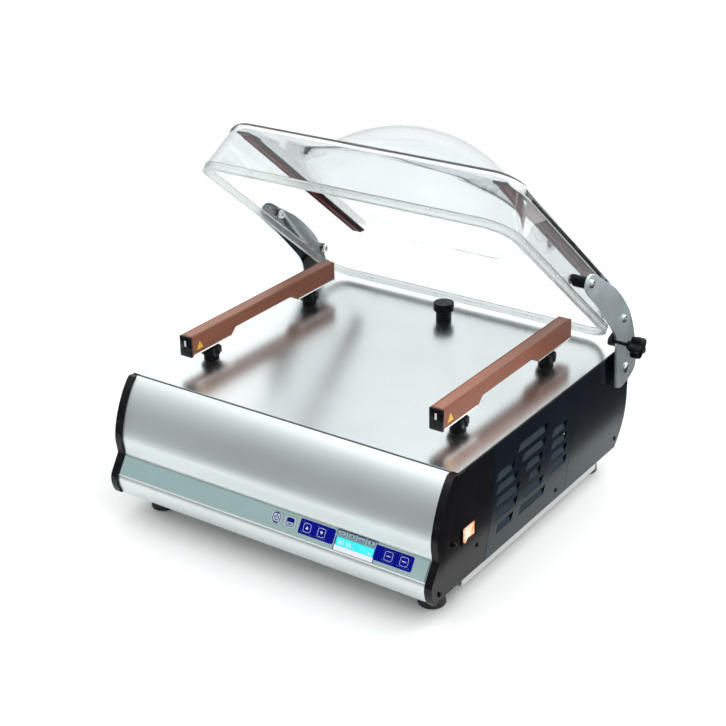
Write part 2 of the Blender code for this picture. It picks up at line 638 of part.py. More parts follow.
def seal_bar(side):
    sign = 1 if side == "right" else -1
    x = sign * BAR_X
    bar = prism(f"seal_bar_{side}", bar_outline(BAR_FRONT + 4.0, BAR_REAR), -BAR_HALF, BAR_HALF, PTFE_BROWN,
                (x, 0, 0))
    for index, y in enumerate(POST_Y):
        socket = turned(f"bar_socket_{side}_{index}", [(0, -5), (4.4, -5), (4.4, 13), (0, 13)], PTFE_BROWN,
                        (x, y, BAR_BOTTOM), "Z", 20)
        combine(bar, socket, "DIFFERENCE")
    cap_low = BAR_BOTTOM - 1.0
    cap = box(f"bar_end_cap_{side}", (x - BAR_HALF - 0.4, BAR_FRONT, cap_low),
              (x + BAR_HALF + 0.4, BAR_FRONT + 3.6, BAR_TOP + 0.4), GLOSS_BLACK)
    bevel(cap, 0.9, 2)

    yoke_z = 158.0
    yoke = box(f"lift_yoke_{side}", (x - 15, 92, yoke_z - 8), (x + 15, 356, yoke_z), SATIN_BLACK)
    rod = turned(f"piston_rod_{side}", [(0, -50), (8, -50), (8, 2), (0, 2)], SATIN_BLACK,
                 (x, 224, yoke_z - 5), "Z", 24)
    combine(yoke, rod, "UNION")
    post = [(0, -3.0), (7, -3.0), (7, BAR_BOTTOM - 0.4 - yoke_z), (4, BAR_BOTTOM - 0.4 - yoke_z),
            (4, BAR_BOTTOM + 11 - yoke_z), (0, BAR_BOTTOM + 11 - yoke_z)]
    for index, y in enumerate(POST_Y):
        upright = turned(f"lift_post_{side}_{index}", post, SATIN_BLACK, (x, y, yoke_z), "Z", 24)
        combine(yoke, upright, "UNION")
        post_knob(f"post_knob_{'front' if index == 0 else 'rear'}_{side}", x, y)
    cylinder = [(0, 60.0), (8.4, 60.0), (8.4, 140.0), (24, 140.0), (24, 28), (30, 27), (30, 20.0), (0, 20.0)]
    turned(f"lift_cylinder_{side}", cylinder, ALUMINIUM, (x, 224, 0), "Z", 32)


# ---------------------------------------------------------------- lid, drawn closed around the pivot


def lid_point(x, y, z):
    """From the closed lid, measured from the machine's middle and the plate, to the pivot."""
    return Vector((x, y - PIVOT_Y, z + PLATE_TOP - PIVOT_Z))


def lid_ring(z, inset_x, inset_y, corner):
    ring = rounded_ring(LID_HALF_X - inset_x, LID_HALF_Y - inset_y, corner, z, 8, 9)
    return [lid_point(x, y + LID_MID_Y, z) for x, y, z in ring]


def dome_ring(radius, z):
    """A round ring whose points face those of the rounded rectangle below it."""
    base = rounded_ring(LID_HALF_X - 40, LID_HALF_Y - 20, LID_CORNER - 12, 0.0, 8, 9)
    ring = []
    for x, y, _ in base:
        turn = math.atan2(y, x)
        ring.append(lid_point(radius * math.cos(turn), radius * math.sin(turn) + LID_MID_Y, z))
    return ring


def lid_skin(shrink):
    """Rings of the lid's outer skin, or of its inner one when it is shrunk by the wall."""
    rim = GASKET_HEIGHT + 0.4
    top = LID_TOP - shrink
    wall_end = top - 18.0
    rings = [lid_ring(rim, shrink, shrink, LID_CORNER - shrink)]
    lean_x = SIDE_DRAFT * (wall_end - rim)
    lean_y = END_DRAFT * (wall_end - rim)
    rings.append(lid_ring(wall_end, shrink + lean_x, shrink + lean_y, LID_CORNER - shrink - 4))
    for degrees in (25, 50, 75, 90):
        turn = math.radians(degrees)
        rise, inward = 18.0 * math.sin(turn), 14.0 * (1 - math.cos(turn))
        rings.append(lid_ring(wall_end + rise, shrink + lean_x + inward, shrink + lean_y + 0.7 * inward,
                              LID_CORNER - shrink - 4 - 0.5 * inward))
    sphere = DOME_RADIUS - shrink
    foot = DOME_FOOT - 0.5 * shrink
    rings.append(dome_ring(foot, top))
    rings.append(dome_ring(foot - 9.0, top + 1.6))
    rings.append(dome_ring(foot - 17.0, top + 7.0))
    for radius in (168.0, 150.0, 125.0, 95.0, 60.0, 25.0):
        height = DOME_CENTRE + math.sqrt(sphere ** 2 - radius ** 2)
        rings.append(dome_ring(radius, height))
    return rings


def lid():
    outer = lid_skin(0.0)
    inner = lid_skin(LID_WALL)
    lofted("lid_dome", list(reversed(outer)) + inner, ACRYLIC, (0, 0, 0), lid_pivot)

    flat = GAP
    wide, narrow = 0.5, GASKET_WIDTH - 0.5
    section = ((-wide, flat), (-wide, GASKET_HEIGHT), (narrow, GASKET_HEIGHT), (narrow, flat))
    rings = [lid_ring(z, inset, inset, LID_CORNER - inset) for inset, z in section]
    lofted("lid_gasket", rings, SEAL_RUBBER, (0, 0, 0), lid_pivot, loop=True)

    for sign, side in ((-1, "left"), (1, "right")):
        holder_low = lid_point(sign * BAR_X - 11, 44, 68.6)
        holder_high = lid_point(sign * BAR_X + 11, 404, 73.0)
        counter = box(f"counter_bar_{side}", holder_low, holder_high, RED_SILICONE, lid_pivot)
        strip_low = lid_point(sign * BAR_X - 9, 47, 65.8)
        strip_high = lid_point(sign * BAR_X + 9, 401, 69.2)
        strip = box(f"counter_strip_{side}", strip_low, strip_high, RED_SILICONE, lid_pivot)
        combine(counter, strip, "UNION")


def arm_outline():
    """Side view of a hinge arm: a lobe at the pivot and a bowed beam out to the front bolt."""
    y, z = FRONT_BOLT
    bowed = [(-7.0, -34.0), (9.0, -27.5), (23.5, -9.0), (31.0, 11.0), (22.0, 27.0), (-8.0, 49.5),
             (-40.0, 66.0), (-72.0, 75.0), (-124.0, 79.0), (-170.0, 74.0), (y + 2.0, z + 15.0),
             (y - 12.5, z + 6.0),
             (y - 12.0, z - 8.0), (y + 2.0, z - 14.5), (-164.0, 37.5), (-111.0, 32.0), (-78.0, 27.0),
             (-61.0, 20.0)]
    return smooth_path(bowed, 3)


def lid_wall_x(z):
    """Outer face of the closed lid's side wall at a height above the plate."""
    return LID_HALF_X - SIDE_DRAFT * (z - GASKET_HEIGHT - 0.4)


def lid_spacer(name, sign, at):
    """Bush between an arm and the lid, cut to the slope of the lid's wall."""
    sides = 24
    rings = [[], []]
    for k in range(sides):
        turn = 2 * math.pi * k / sides
        y = at[0] + SPACER_RADIUS * math.cos(turn)
        z = at[1] + SPACER_RADIUS * math.sin(turn)
        above_plate = z + PIVOT_Z - PLATE_TOP
        rings[0].append((sign * (lid_wall_x(above_plate) + GAP), y, z))
        rings[1].append((sign * (ARM_IN - 0.3), y, z))
    lofted(name, rings, GLOSS_BLACK, (0, 0, 0), lid_pivot)


def buffer_outline(with_boss):
    """Round buffer behind an arm. The right one grows a boss forward, for the stud of the lock knob."""
    big = 13.8
    if not with_boss:
        turns = [2 * math.pi * k / 28 for k in range(28)]
        return [(BUFFER_AT[0] + big * math.cos(t), BUFFER_AT[1] + big * math.sin(t)) for t in turns]
    small = 7.0
    run = Vector(LOCK_AT) - Vector(BUFFER_AT)
    heading = math.atan2(run.y, run.x)
    open_by = math.acos((big - small) / run.length)
    outline = []
    for centre, radius, start, stop in ((BUFFER_AT, big, open_by, 2 * math.pi - open_by),
                                        (LOCK_AT, small, -open_by, open_by)):
        for k in range(15):
            turn = heading + start + (stop - start) * k / 14
            outline.append((centre[0] + radius * math.cos(turn), centre[1] + radius * math.sin(turn)))
    return outline


def hinge():
    for sign, side in ((-1, "left"), (1, "right")):
        arm = prism(f"hinge_arm_{side}", arm_outline(), sign * ARM_IN, sign * ARM_OUT, STAINLESS, (0, 0, 0),
                    lid_pivot)
        eye = turned(f"arm_eye_{side}", [(0, -9), (SHAFT_RADIUS + 0.3, -9), (SHAFT_RADIUS + 0.3, 9), (0, 9)],
                     STAINLESS, (sign * ARM_OUT, 0, 0), "X", 24, lid_pivot)
        combine(arm, eye, "DIFFERENCE")
        lid_spacer(f"lid_spacer_front_{side}", sign, FRONT_BOLT)
        lid_spacer(f"lid_spacer_rear_{side}", sign, REAR_BOLT)
        outline = buffer_outline(side == "right")
        buffer = prism(f"lid_buffer_{side}", outline, sign * 273.6, sign * (ARM_IN - 0.3), RUBBER,
                       (0, 0, 0), lid_pivot, 30.0)
        if side == "right":
            bore = turned("buffer_bore", [(0, -9), (3.1, -9), (3.1, 9), (0, 9)], RUBBER,
                          (276, LOCK_AT[0], LOCK_AT[1]), "X", 20, lid_pivot)
            combine(buffer, bore, "DIFFERENCE")
    reach, head = ARM_OUT + 0.3, 8.5
    half = [(0, reach + 3.0), (head - 3.0, reach + 2.9), (head, reach + 1.4), (head, reach),
            (SHAFT_RADIUS, reach)]
    shaft = half + [(radius, -along) for radius, along in reversed(half)]
    turned("hinge_shaft", shaft, SHINY_STEEL, (0, 0, 0), "X", 24, lid_pivot)

    steps = 50
    stem = ((273.8, 2.6), (303.0, 2.6), (303.0, 6.5), (310.0, 8.4))
    rings = [[(x, r * math.cos(2 * math.pi * k / steps), r * math.sin(2 * math.pi * k / steps))
              for k in range(steps)] for x, r in stem]
    for x, size in ((310.0, 0.94), (311.4, 1.0), (322.5, 1.0), (325.6, 0.9), (327.0, 0.6)):
        grip = lobed(5, steps, 11.2, 16.8)
        rings.append([(x, size * r * math.cos(t), size * r * math.sin(t)) for t, r in grip])
    lofted("lock_knob", rings, GLOSS_BLACK, (0, LOCK_AT[0], LOCK_AT[1]), lid_pivot)


def lid_spring():
    """Torsion spring on the lid's shaft, with its two legs resting against the rear ledge."""
    turns, pitch, mean = 7, 7.5, 12.5
    steps = 14
    coil = []
    for k in range(turns * steps + 1):
        angle = 2 * math.pi * k / steps
        coil.append((-60.0 + pitch * k / steps, PIVOT_Y + mean * math.cos(angle),
                     PIVOT_Z + mean * math.sin(angle)))
    start, end = coil[0], coil[-1]
    path = [(start[0], start[1], start[2] - 34.0)] + coil + [(end[0], end[1], end[2] - 34.0)]
    tube("lid_spring", path, 2.0, 6, SHINY_STEEL)


# ---------------------------------------------------------------- assembly

front_profile()
for which in ("left", "right"):
    end_cap(which)
    vent_panel(which)
    side_panel_rear(which)
    seal_bar(which)
rear_cover()
base_tray()
top_plate()
for row, place_y in (("front", FOOT_Y[0]), ("rear", FOOT_Y[1])):
    foot(f"foot_{row}_left", -FOOT_X, place_y)
    foot(f"foot_{row}_right", FOOT_X, place_y)
controls()
rocker_switch()
power_inlet()
vacuum_unit()
suction_port()
lid()
hinge()
lid_spring()
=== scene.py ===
"""Looks of the chamber vacuum packing machine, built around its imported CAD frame.

Sizes in millimetres in the machine's own frame: X right, Y back from the plate's front edge,
Z up from the plate. M() takes them to the row frame, and the lid's pieces are drawn closed and
then opened about the hinge.
"""

import math

import bmesh
import bpy
from mathutils import Matrix, Vector


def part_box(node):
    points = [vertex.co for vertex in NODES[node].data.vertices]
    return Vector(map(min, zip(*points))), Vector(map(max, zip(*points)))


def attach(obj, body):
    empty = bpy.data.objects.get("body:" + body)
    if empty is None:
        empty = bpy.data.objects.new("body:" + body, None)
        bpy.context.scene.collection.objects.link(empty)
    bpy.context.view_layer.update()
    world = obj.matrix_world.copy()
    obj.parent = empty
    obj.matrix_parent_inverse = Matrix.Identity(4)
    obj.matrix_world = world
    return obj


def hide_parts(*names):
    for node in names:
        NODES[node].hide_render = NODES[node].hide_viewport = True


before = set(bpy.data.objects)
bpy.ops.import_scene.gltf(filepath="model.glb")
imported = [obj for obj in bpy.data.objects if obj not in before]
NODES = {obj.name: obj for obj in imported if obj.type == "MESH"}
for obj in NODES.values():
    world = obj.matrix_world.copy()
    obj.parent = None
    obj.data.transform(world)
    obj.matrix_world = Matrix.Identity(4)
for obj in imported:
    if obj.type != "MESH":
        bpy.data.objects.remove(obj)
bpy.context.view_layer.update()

PLATE_HALF = 272.3
PLATE_FRONT = 3.5
PLATE_TABLE_HEIGHT = 207.0   # top of the plate above the table
low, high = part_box("top_plate")
SHIFT = Vector((low.x * 1000 + PLATE_HALF, low.y * 1000 - PLATE_FRONT, high.z * 1000))
PIVOT = Vector((0.0, 456.0, -31.0))    # a point on the lid's hinge axis
OPEN = math.radians(40.0)
BAR_X = 210.2                # seal bars and the counter bars over them

TO_ROW = Matrix.Scale(0.001, 4) @ Matrix.Translation(SHIFT)
TO_LID = TO_ROW @ Matrix.Translation(PIVOT) @ Matrix.Rotation(-OPEN, 4, "X") @ Matrix.Translation(-PIVOT)


# ---------------------------------------------------------------- materials


def tree(name):
    made = bpy.data.materials.new(name)
    made.use_nodes = True
    nodes, links = made.node_tree.nodes, made.node_tree.links
    return made, nodes, links, nodes["Principled BSDF"]


def noise(nodes, links, scale, stretch=(1, 1, 1), detail=4.0, rough=0.55):
    where = nodes.new("ShaderNodeTexCoord")
    mapping = nodes.new("ShaderNodeMapping")
    mapping.inputs["Scale"].default_value = stretch
    made = nodes.new("ShaderNodeTexNoise")
    made.inputs["Scale"].default_value = scale
    made.inputs["Detail"].default_value = detail
    made.inputs["Roughness"].default_value = rough
    links.new(where.outputs["Object"], mapping.inputs["Vector"])
    links.new(mapping.outputs["Vector"], made.inputs["Vector"])
    return made.outputs["Fac"]


def spread(nodes, links, source, low_value, high_value):
    made = nodes.new("ShaderNodeMapRange")
    made.inputs["From Min"].default_value = 0.3
    made.inputs["From Max"].default_value = 0.7
    made.inputs["To Min"].default_value = low_value
    made.inputs["To Max"].default_value = high_value
    links.new(source, made.inputs["Value"])
    return made.outputs["Result"]


def surface(name, colour, rough, metal=0.0, vary=0.06, grain=40.0, stretch=(1, 1, 1), bump=0.1,
            depth=0.00005, fine=900.0, fine_stretch=(1, 1, 1), rough_vary=0.06, **sockets):
    """A Principled surface: large soft colour variation, fine grain in roughness and bump."""
    made, nodes, links, shader = tree(name)
    broad = noise(nodes, links, grain, stretch)
    tiny = noise(nodes, links, fine, fine_stretch, 3.0)
    ramp = nodes.new("ShaderNodeMix")
    ramp.data_type = "RGBA"
    ramp.inputs[6].default_value = (*[c * (1 - vary) for c in colour], 1)
    ramp.inputs[7].default_value = (*[min(1.0, c * (1 + vary)) for c in colour], 1)
    links.new(spread(nodes, links, broad, 0.0, 1.0), ramp.inputs[0])
    links.new(ramp.outputs[2], shader.inputs["Base Color"])
    both = nodes.new("ShaderNodeMath")
    both.operation = "ADD"
    links.new(spread(nodes, links, broad, rough - rough_vary / 2, rough + rough_vary / 2), both.inputs[0])
    links.new(spread(nodes, links, tiny, -rough_vary / 2, rough_vary / 2), both.inputs[1])
    links.new(both.outputs[0], shader.inputs["Roughness"])
    relief = nodes.new("ShaderNodeBump")
    relief.inputs["Strength"].default_value = bump
    relief.inputs["Distance"].default_value = depth
    links.new(tiny, relief.inputs["Height"])
    links.new(relief.outputs["Normal"], shader.inputs["Normal"])
    shader.inputs["Metallic"].default_value = metal
    for socket, value in sockets.items():
        shader.inputs[socket.replace("_", " ")].default_value = value
    return made


BRUSH_X = (0.012, 1.0, 1.0)
BRUSH_Y = (1.0, 0.012, 1.0)
STEEL = surface("steel_plate", (0.75, 0.785, 0.785), 0.24, 1.0, 0.03, 9.0, (1, 1, 1), 0.004, 0.00001, 1500.0,
                BRUSH_X, 0.02)
ARM_STEEL = surface("steel_arm", (0.74, 0.83, 0.86), 0.42, 1.0, 0.06, 20.0, (1, 1, 1), 0.10, 0.00003, 1300.0,
                    BRUSH_Y, 0.08)
ALU = surface("aluminium_profile", (0.73, 0.79, 0.785), 0.38, 1.0, 0.02, 6.0, (1, 1, 1), 0.05, 0.00003,
              1800.0, BRUSH_X, 0.05)
TRAY = surface("tray_steel", (0.62, 0.63, 0.62), 0.36, 1.0, 0.06, 12.0, (1, 1, 1), 0.10, 0.00003, 900.0,
               BRUSH_Y, 0.12)
CHROME = surface("bolt_steel", (0.72, 0.72, 0.72), 0.16, 1.0, 0.04, 80.0, (1, 1, 1), 0.06, 0.00002, 2500.0)
ZINC = surface("zinc_steel", (0.45, 0.46, 0.47), 0.42, 1.0, 0.12, 60.0)
GLOSS = surface("gloss_black_moulding", (0.004, 0.004, 0.005), 0.17, 0.0, 0.2, 30.0, (1, 1, 1), 0.05, 0.00003,
                700.0, (1, 1, 1), 0.05, Specular_IOR_Level=0.22)
KNOB_BLACK = surface("knob_black", (0.003, 0.004, 0.005), 0.26, 0.0, 0.2, 120.0, (1, 1, 1), 0.20, 0.00005,
                     1600.0, (1, 1, 1), 0.08, Specular_IOR_Level=0.14)
SIDE_BLACK = surface("side_panel_black", (0.0012, 0.0035, 0.009), 0.20, 0.0, 0.25, 7.0, (1, 1, 1), 0.08,
                     0.00003, 2200.0, (1, 1, 1), 0.04, Specular_IOR_Level=0.36,
                     Specular_Tint=(0.66, 1.0, 0.97, 1.0))
FIN = surface("louvre_fin", (0.006, 0.014, 0.026), 0.34, 0.0, 0.2, 20.0, (1, 1, 1), 0.15, 0.00004,
              2200.0, (1, 1, 1), 0.06, Specular_IOR_Level=0.30, Specular_Tint=(0.70, 0.92, 1.0, 1.0))
RUBBER = surface("foot_rubber", (0.012, 0.012, 0.012), 0.66, 0.0, 0.2, 90.0, (1, 1, 1), 0.4, 0.0001, 900.0)
PTFE = surface("ptfe_tape", (0.25, 0.075, 0.036), 0.46, 0.0, 0.22, 260.0, (1, 0.05, 1), 0.35, 0.00008, 2600.0,
               (1, 1, 1), 0.10, Specular_IOR_Level=0.35)
# painted light: the bar's top face is a lighter copy of the tape colour, in place of the light falling on it
PTFE_LIT_TOP = surface("ptfe_lit_top", (0.33, 0.135, 0.08), 0.40, 0.0, 0.20, 240.0, (1, 0.05, 1), 0.35, 0.00006,
                   2600.0, (1, 1, 1), 0.08)
RED = surface("counter_silicone", (0.08, 0.005, 0.004), 0.42, 0.0, 0.12, 40.0, (1, 0.2, 1), 0.25, 0.00006,
              1500.0, Specular_IOR_Level=0.12)
FILM = surface("keypad_film", (0.36, 0.50, 0.50), 0.34, 0.35, 0.03, 30.0, (1, 1, 1), 0.15, 0.00003, 2600.0,
               (1, 1, 1), 0.05)
BLUE = surface("keypad_blue", (0.004, 0.006, 0.24), 0.42, 0.0, 0.10, 60.0, (1, 1, 1), 0.10, 0.00002, 2000.0,
               Specular_IOR_Level=0.0)
KEY = surface("key_blue", (0.006, 0.009, 0.27), 0.42, 0.0, 0.10, 60.0, (1, 1, 1), 0.10, 0.00002, 2000.0,
              Specular_IOR_Level=0.02)
KEY_GREY = surface("key_grey", (0.46, 0.55, 0.60), 0.28, 0.1, 0.05, 60.0, (1, 1, 1), 0.10, 0.00002, 2000.0)
INK_WHITE = surface("ink_white", (0.86, 0.89, 0.92), 0.40, 0.0, 0.03, 90.0)
INK_DARK = surface("ink_dark", (0.05, 0.07, 0.16), 0.40, 0.0, 0.06, 90.0)
INK_BLUE = surface("ink_blue", (0.005, 0.008, 0.16), 0.45, 0.0, 0.06, 90.0, Specular_IOR_Level=0.05)
INK_MID = surface("ink_mid", (0.03, 0.05, 0.16), 0.45, 0.0, 0.06, 90.0, Specular_IOR_Level=0.05)
YELLOW = surface("label_yellow", (0.86, 0.47, 0.02), 0.42, 0.0, 0.05, 90.0)
CAST = surface("cast_housing", (0.16, 0.165, 0.17), 0.55, 0.4, 0.2, 60.0, (1, 1, 1), 0.7, 0.0003, 500.0)
MOTOR = surface("motor_enamel", (0.03, 0.045, 0.07), 0.42, 0.0, 0.15, 40.0)
BRASS = surface("valve_brass", (0.55, 0.42, 0.18), 0.30, 1.0, 0.10, 80.0)
BOARD = surface("board_green", (0.02, 0.13, 0.05), 0.45, 0.0, 0.2, 200.0)
HOSE = surface("hose_blue", (0.12, 0.2, 0.3), 0.28, 0.0, 0.1, 60.0)
GASKET = surface("gasket_silicone", (0.84, 0.88, 0.87), 0.30, 0.0, 0.03, 30.0, (1, 1, 1), 0.20, 0.00005,
                 900.0, (1, 1, 1), 0.08, Transmission_Weight=0.90, IOR=1.35)
# painted highlight: a near-white metal bead in place of the highlight line along the keypad's lower edge
HIGHLIGHT_BEAD = surface("painted_highlight_bead", (0.95, 0.97, 0.97), 0.45, 1.0, 0.02, 60.0)
SLOT_WHITE = surface("slot_metal", (0.80, 0.80, 0.80), 0.30, 0.9, 0.05, 200.0)


def acrylic():
    """Clear cast acrylic with a faint cool tint and very shallow waviness."""
    made, nodes, links, shader = tree("clear_acrylic")
    wave = noise(nodes, links, 5.0, (1, 1, 1), 2.0)
    tint = nodes.new("ShaderNodeMix")
    tint.data_type = "RGBA"
    tint.inputs[6].default_value = (0.76, 0.785, 0.79, 1)
    tint.inputs[7].default_value = (0.82, 0.842, 0.847, 1)
    links.new(spread(nodes, links, wave, 0.0, 1.0), tint.inputs[0])
    links.new(tint.outputs[2], shader.inputs["Base Color"])
    shader.inputs["Transmission Weight"].default_value = 1.0
    shader.inputs["IOR"].default_value = 1.49
    shader.inputs["Specular IOR Level"].default_value = 0.22
    shader.inputs["Roughness"].default_value = 0.015
    relief = nodes.new("ShaderNodeBump")
    relief.inputs["Strength"].default_value = 0.03
    relief.inputs["Distance"].default_value = 0.0006
    links.new(wave, relief.inputs["Height"])
    links.new(relief.outputs["Normal"], shader.inputs["Normal"])
    return made


def painted_shade_inside(made):
    """Painted shade: the arms' inner faces, whose normals point back towards the lid, are painted dark
    blue-grey in place of the shade they lie in.
    """
    nodes, links = made.node_tree.nodes, made.node_tree.links
    base = nodes["Principled BSDF"].inputs["Base Color"]
    outside = base.links[0].from_socket
    where = nodes.new("ShaderNodeTexCoord")
    facing, place = nodes.new("ShaderNodeSeparateXYZ"), nodes.new("ShaderNodeSeparateXYZ")
    links.new(where.outputs["Normal"], facing.inputs["Vector"])
    links.new(where.outputs["Object"], place.inputs["Vector"])
    product, inward = nodes.new("ShaderNodeMath"), nodes.new("ShaderNodeMath")
    product.operation, inward.operation = "MULTIPLY", "LESS_THAN"
    links.new(facing.outputs["X"], product.inputs[0])
    links.new(place.outputs["X"], product.inputs[1])
    links.new(product.outputs[0], inward.inputs[0])
    inward.inputs[1].default_value = -0.1
    mixed = nodes.new("ShaderNodeMix")
    mixed.data_type = "RGBA"
    # painted shade: the dark blue-grey base colour of the arms' inner faces
    mixed.inputs[7].default_value = (0.035, 0.055, 0.070, 1)
    links.new(inward.outputs[0], mixed.inputs[0])
    links.new(outside, mixed.inputs[6])
    links.new(mixed.outputs[2], base)


def glowing(name, colour, light, power, scale, stretch=(1, 1, 1)):
    """A lit plastic face whose glow is uneven."""
    made, nodes, links, shader = tree(name)
    cloud = noise(nodes, links, scale, stretch, 2.0)
    mixed = nodes.new("ShaderNodeMix")
    mixed.data_type = "RGBA"
    mixed.inputs[6].default_value = (*colour, 1)
    mixed.inputs[7].default_value = (*light, 1)
    links.new(spread(nodes, links, cloud, 0.0, 1.0), mixed.inputs[0])
    links.new(mixed.outputs[2], shader.inputs["Base Color"])
    links.new(mixed.outputs[2], shader.inputs["Emission Color"])
    shader.inputs["Emission Strength"].default_value = power
    shader.inputs["Roughness"].default_value = 0.22
    return made


# the arm steel gets painted shade on its inner faces
painted_shade_inside(ARM_STEEL)
ACRYLIC = acrylic()
LCD = glowing("display_cyan", (0.02, 0.55, 0.72), (0.05, 0.72, 0.85), 0.50, 30.0)
LAMP = glowing("rocker_orange", (0.95, 0.19, 0.04), (1.0, 0.62, 0.52), 0.95, 110.0)


# ---------------------------------------------------------------- mesh helpers


def make(name, bm, material, matrix=TO_ROW, body="machine", smooth=35.0, round_edges=0.0,
         segments=2):
    """A bmesh drawn in millimetres becomes a piece in the row frame that moves with its body."""
    bmesh.ops.recalc_face_normals(bm, faces=bm.faces)
    bm.transform(matrix)
    mesh = bpy.data.meshes.new(name)
    bm.to_mesh(mesh)
    bm.free()
    mesh.materials.append(material)
    mesh.shade_smooth()
    mesh.set_sharp_from_angle(angle=math.radians(smooth))
    piece = bpy.data.objects.new(name, mesh)
    bpy.context.scene.collection.objects.link(piece)
    if round_edges:
        soften(piece, round_edges, segments)
    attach(piece, body)
    return piece


def soften(piece, width, segments=2, angle=35.0):
    step = piece.modifiers.new("edges", "BEVEL")
    step.width = width * 0.001
    step.segments = segments
    step.limit_method = "ANGLE"
    step.angle_limit = math.radians(angle)
    step.harden_normals = True
    step.use_clamp_overlap = True


def dress(node, material, edge=0.35, segments=2, angle=40.0):
    """A CAD node as it is, with a finish and softly broken edges."""
    piece = NODES[node]
    piece.data.materials.clear()
    piece.data.materials.append(material)
    for given in ("custom_normal", "sharp_edge", "sharp_face"):
        if given in piece.data.attributes:
            piece.data.attributes.remove(piece.data.attributes[given])
    weld = piece.modifiers.new("weld", "WELD")
    weld.merge_threshold = 0.00001
    flat = piece.modifiers.new("flat", "DECIMATE")
    flat.decimate_type = "DISSOLVE"
    flat.angle_limit = math.radians(0.4)
    piece.data.shade_smooth()
    if edge:
        soften(piece, edge, segments, angle)


def join_rings(bm, rings, closed=True, cap=True, loop=False):
    made = [[bm.verts.new(point) for point in ring] for ring in rings]
    count = len(made[0])
    pairs = list(zip(made, made[1:])) + ([(made[-1], made[0])] if loop else [])
    for one, two in pairs:
        for k in range(count if closed else count - 1):
            n = (k + 1) % count
            bm.faces.new((one[k], one[n], two[n], two[k]))
    if cap and not loop:
        bm.faces.new(list(reversed(made[0])))
        bm.faces.new(made[-1])


def block(bm, low_corner, high_corner):
    cube = bmesh.ops.create_cube(bm, size=1.0)["verts"]
    a, b = Vector(low_corner), Vector(high_corner)
    bmesh.ops.scale(bm, vec=b - a, verts=cube)
    bmesh.ops.translate(bm, vec=(a + b) / 2, verts=cube)


def turned(bm, profile, place, axis="Z", sides=40):
    """Outline of (radius, height) pairs turned about an axis through place."""
    spin = {"X": Matrix.Rotation(math.radians(90), 3, "Y"), "Z": Matrix.Identity(3),
            "-X": Matrix.Rotation(math.radians(-90), 3, "Y")}[axis]
    rings = []
    for radius, height in profile:
        ring = []
        for k in range(sides):
            t = 2 * math.pi * k / sides
            ring.append(spin @ Vector((radius * math.cos(t), radius * math.sin(t), height)) + Vector(place))
        rings.append(ring)
    join_rings(bm, rings)


def rounded_ring(half_x, half_y, corner, z, per_corner=18, per_side=14):
    ring = []
    centres = ((1, 1, 0), (-1, 1, 90), (-1, -1, 180), (1, -1, 270))
    for index, (sx, sy, start) in enumerate(centres):
        cx, cy = sx * (half_x - corner), sy * (half_y - corner)
        turns = [math.radians(start + 90 * k / (per_corner - 1)) for k in range(per_corner)]
        arc = [(cx + corner * math.cos(t), cy + corner * math.sin(t)) for t in turns]
        nx, ny, turn = centres[(index + 1) % 4]
        ahead = (nx * (half_x - corner) + corner * math.cos(math.radians(turn)),
                 ny * (half_y - corner) + corner * math.sin(math.radians(turn)))
        ring += arc
        for k in range(1, per_side):
            t = k / per_side
            ring.append((arc[-1][0] * (1 - t) + ahead[0] * t, arc[-1][1] * (1 - t) + ahead[1] * t))
    return [Vector((x, y, z)) for x, y in ring]


# ---------------------------------------------------------------- lid

LID_HALF_X, LID_HALF_Y, LID_MID_Y = 258.2, 210.8, 227.5
LID_CORNER, LID_TOP, LID_WALL = 45.0, 82.0, 5.0
SIDE_DRAFT, END_DRAFT = 0.29, 0.12     # inward lean of the walls
RIM = 11.4                             # lower edge of the acrylic, above the gasket
SHOULDER, TURN_IN, TURN_IN_ENDS = 18.0, 14.0, 0.7   # rounding between the walls and the flat top
FLAT_MARGIN = 10.3                     # from the leaning end wall to the flat
DOME_RADIUS, DOME_CENTRE = 211.9, -29.0
DOME_FOOT = 198.0                      # where the fillet leaves the flat
DOME_START = 168.0                     # where the fillet meets the sphere


def lid_ring(z, inset_x, inset_y, corner):
    ring = rounded_ring(LID_HALF_X - inset_x, LID_HALF_Y - inset_y, corner, z)
    return [point + Vector((0, LID_MID_Y, 0)) for point in ring]


def dome_ring(radius, z, half_depth=LID_HALF_Y):
    base = rounded_ring(LID_HALF_X - 40, LID_HALF_Y - 20, LID_CORNER - 12, 0.0)
    ring = []
    for point in base:
        t = math.atan2(point.y, point.x)
        y = max(-half_depth, min(half_depth, radius * math.sin(t)))
        ring.append(Vector((radius * math.cos(t), y + LID_MID_Y, z)))
    return ring


